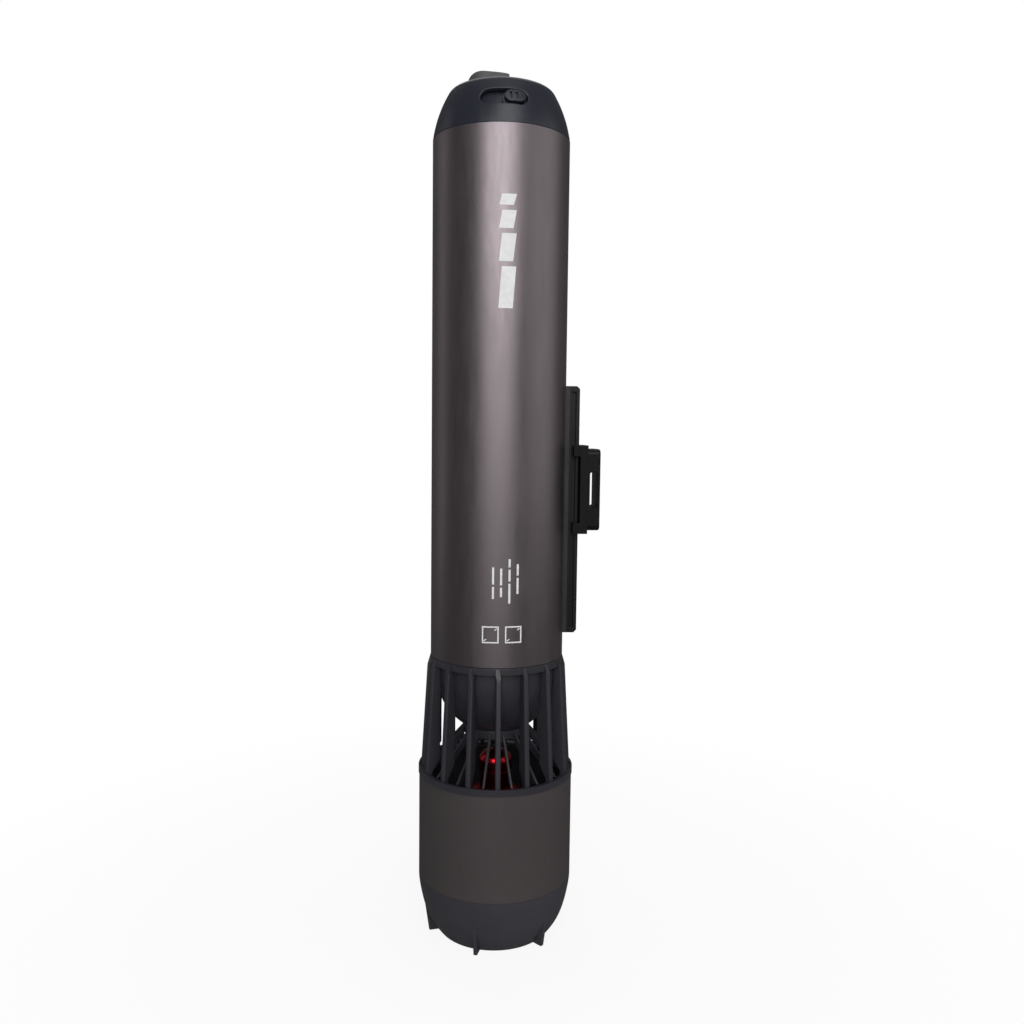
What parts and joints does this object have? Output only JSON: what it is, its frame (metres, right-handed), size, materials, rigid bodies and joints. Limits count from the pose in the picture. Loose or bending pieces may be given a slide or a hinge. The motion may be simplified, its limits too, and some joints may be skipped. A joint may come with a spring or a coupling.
{
  "type": "underwater scooter",
  "caption": "Tube-shaped underwater scooter with a rounded nose, sliding power switch, ribbed water intake, ducted propeller, thrust nozzle and side rail with a strap shoe.",
  "frame": {"origin": "hull axis in the plane of the nozzle's rim, on which the scooter stands", "axes": "+Z along the hull axis to the nose, +X to the accessory rail, -Y to the side with the power switch"},
  "size_m": [0.0991, 0.0872, 0.4712],
  "materials": {
    "hull_metal": "satin anodised",
    "sleeve_metal": "satin anodised",
    "nose_plastic": "satin moulded",
    "cage_plastic": "satin moulded",
    "rail_metal": "black anodised",
    "shoe_plastic": "fine grain moulded",
    "flap_rubber": "matt",
    "seal_rubber": "matt",
    "screw_steel": "blackened",
    "core_steel": "bare",
    "copper": "bare",
    "cell_wrap": "wrapped",
    "holder_plastic": "moulded",
    "board": "solder resist",
    "red_metal": "red anodised"
  },
  "bodies": {
    "hull": {"nose_cap": "nose_plastic", "nose_oring": "seal_rubber", "body_tube": "hull_metal", "tail_bulkhead": "cage_plastic", "tail_oring": "seal_rubber", "cage_ring": "cage_plastic", "intake_ribs": "cage_plastic", "lead_rib": "cage_plastic", "duct_flange": "cage_plastic", "guard_ring": "cage_plastic", "guard_spokes": "cage_plastic", "duct_sleeve": "sleeve_metal", "duct_liner": "cage_plastic", "nozzle": "cage_plastic", "stator_vanes": "cage_plastic", "motor_mount": "cage_plastic", "stator_core": "core_steel", "stator_windings": "copper", "motor_bearings": "core_steel", "motor_lead": "seal_rubber", "lead_gland": "seal_rubber", "mount_rail": "rail_metal", "rail_pad": "seal_rubber", "rail_screws": "screw_steel", "battery_cells": "cell_wrap", "cell_holder_front": "holder_plastic", "cell_holder_mid": "holder_plastic", "cell_holder_rear": "holder_plastic", "tie_rods": "screw_steel", "bms_board": "board", "radio_board": "board", "speed_controller": "board", "supply_capacitors": "cell_wrap", "charge_socket": "holder_plastic", "charge_pins": "copper", "flap_hinge_pin": "screw_steel"},
    "switch": {"switch_knob": "nose_plastic", "switch_magnet": "core_steel"},
    "flap": {"port_flap": "flap_rubber", "port_seal": "seal_rubber"},
    "rotor": {"rotor_bell": "red_metal", "rotor_magnets": "core_steel", "motor_shaft": "core_steel", "propeller": "cage_plastic"},
    "shoe": {"shoe_base": "shoe_plastic", "strap_block": "shoe_plastic", "shoe_screws": "screw_steel"}
  },
  "joints": [
    {"name": "switch_turn", "type": "hinge", "parent": "hull", "child": "switch", "pos_m": [0, 0, 0.4514], "axis": [0, 0, 1], "range_deg": [-20, 0]},
    {"name": "flap_hinge", "type": "hinge", "parent": "hull", "child": "flap", "pos_m": [0.0115, 0, 0.46527], "axis": [0, 1, 0], "range_deg": [0, 80]},
    {"name": "rotor_spin", "type": "hinge", "parent": "hull", "child": "rotor", "pos_m": [0, 0, 0.063], "axis": [0, 0, 1], "continuous": true},
    {"name": "shoe_slide", "type": "slide", "parent": "hull", "child": "shoe", "axis": [0, 0, 1], "range_m": [-0.0524, 0.0288]}
  ]
}
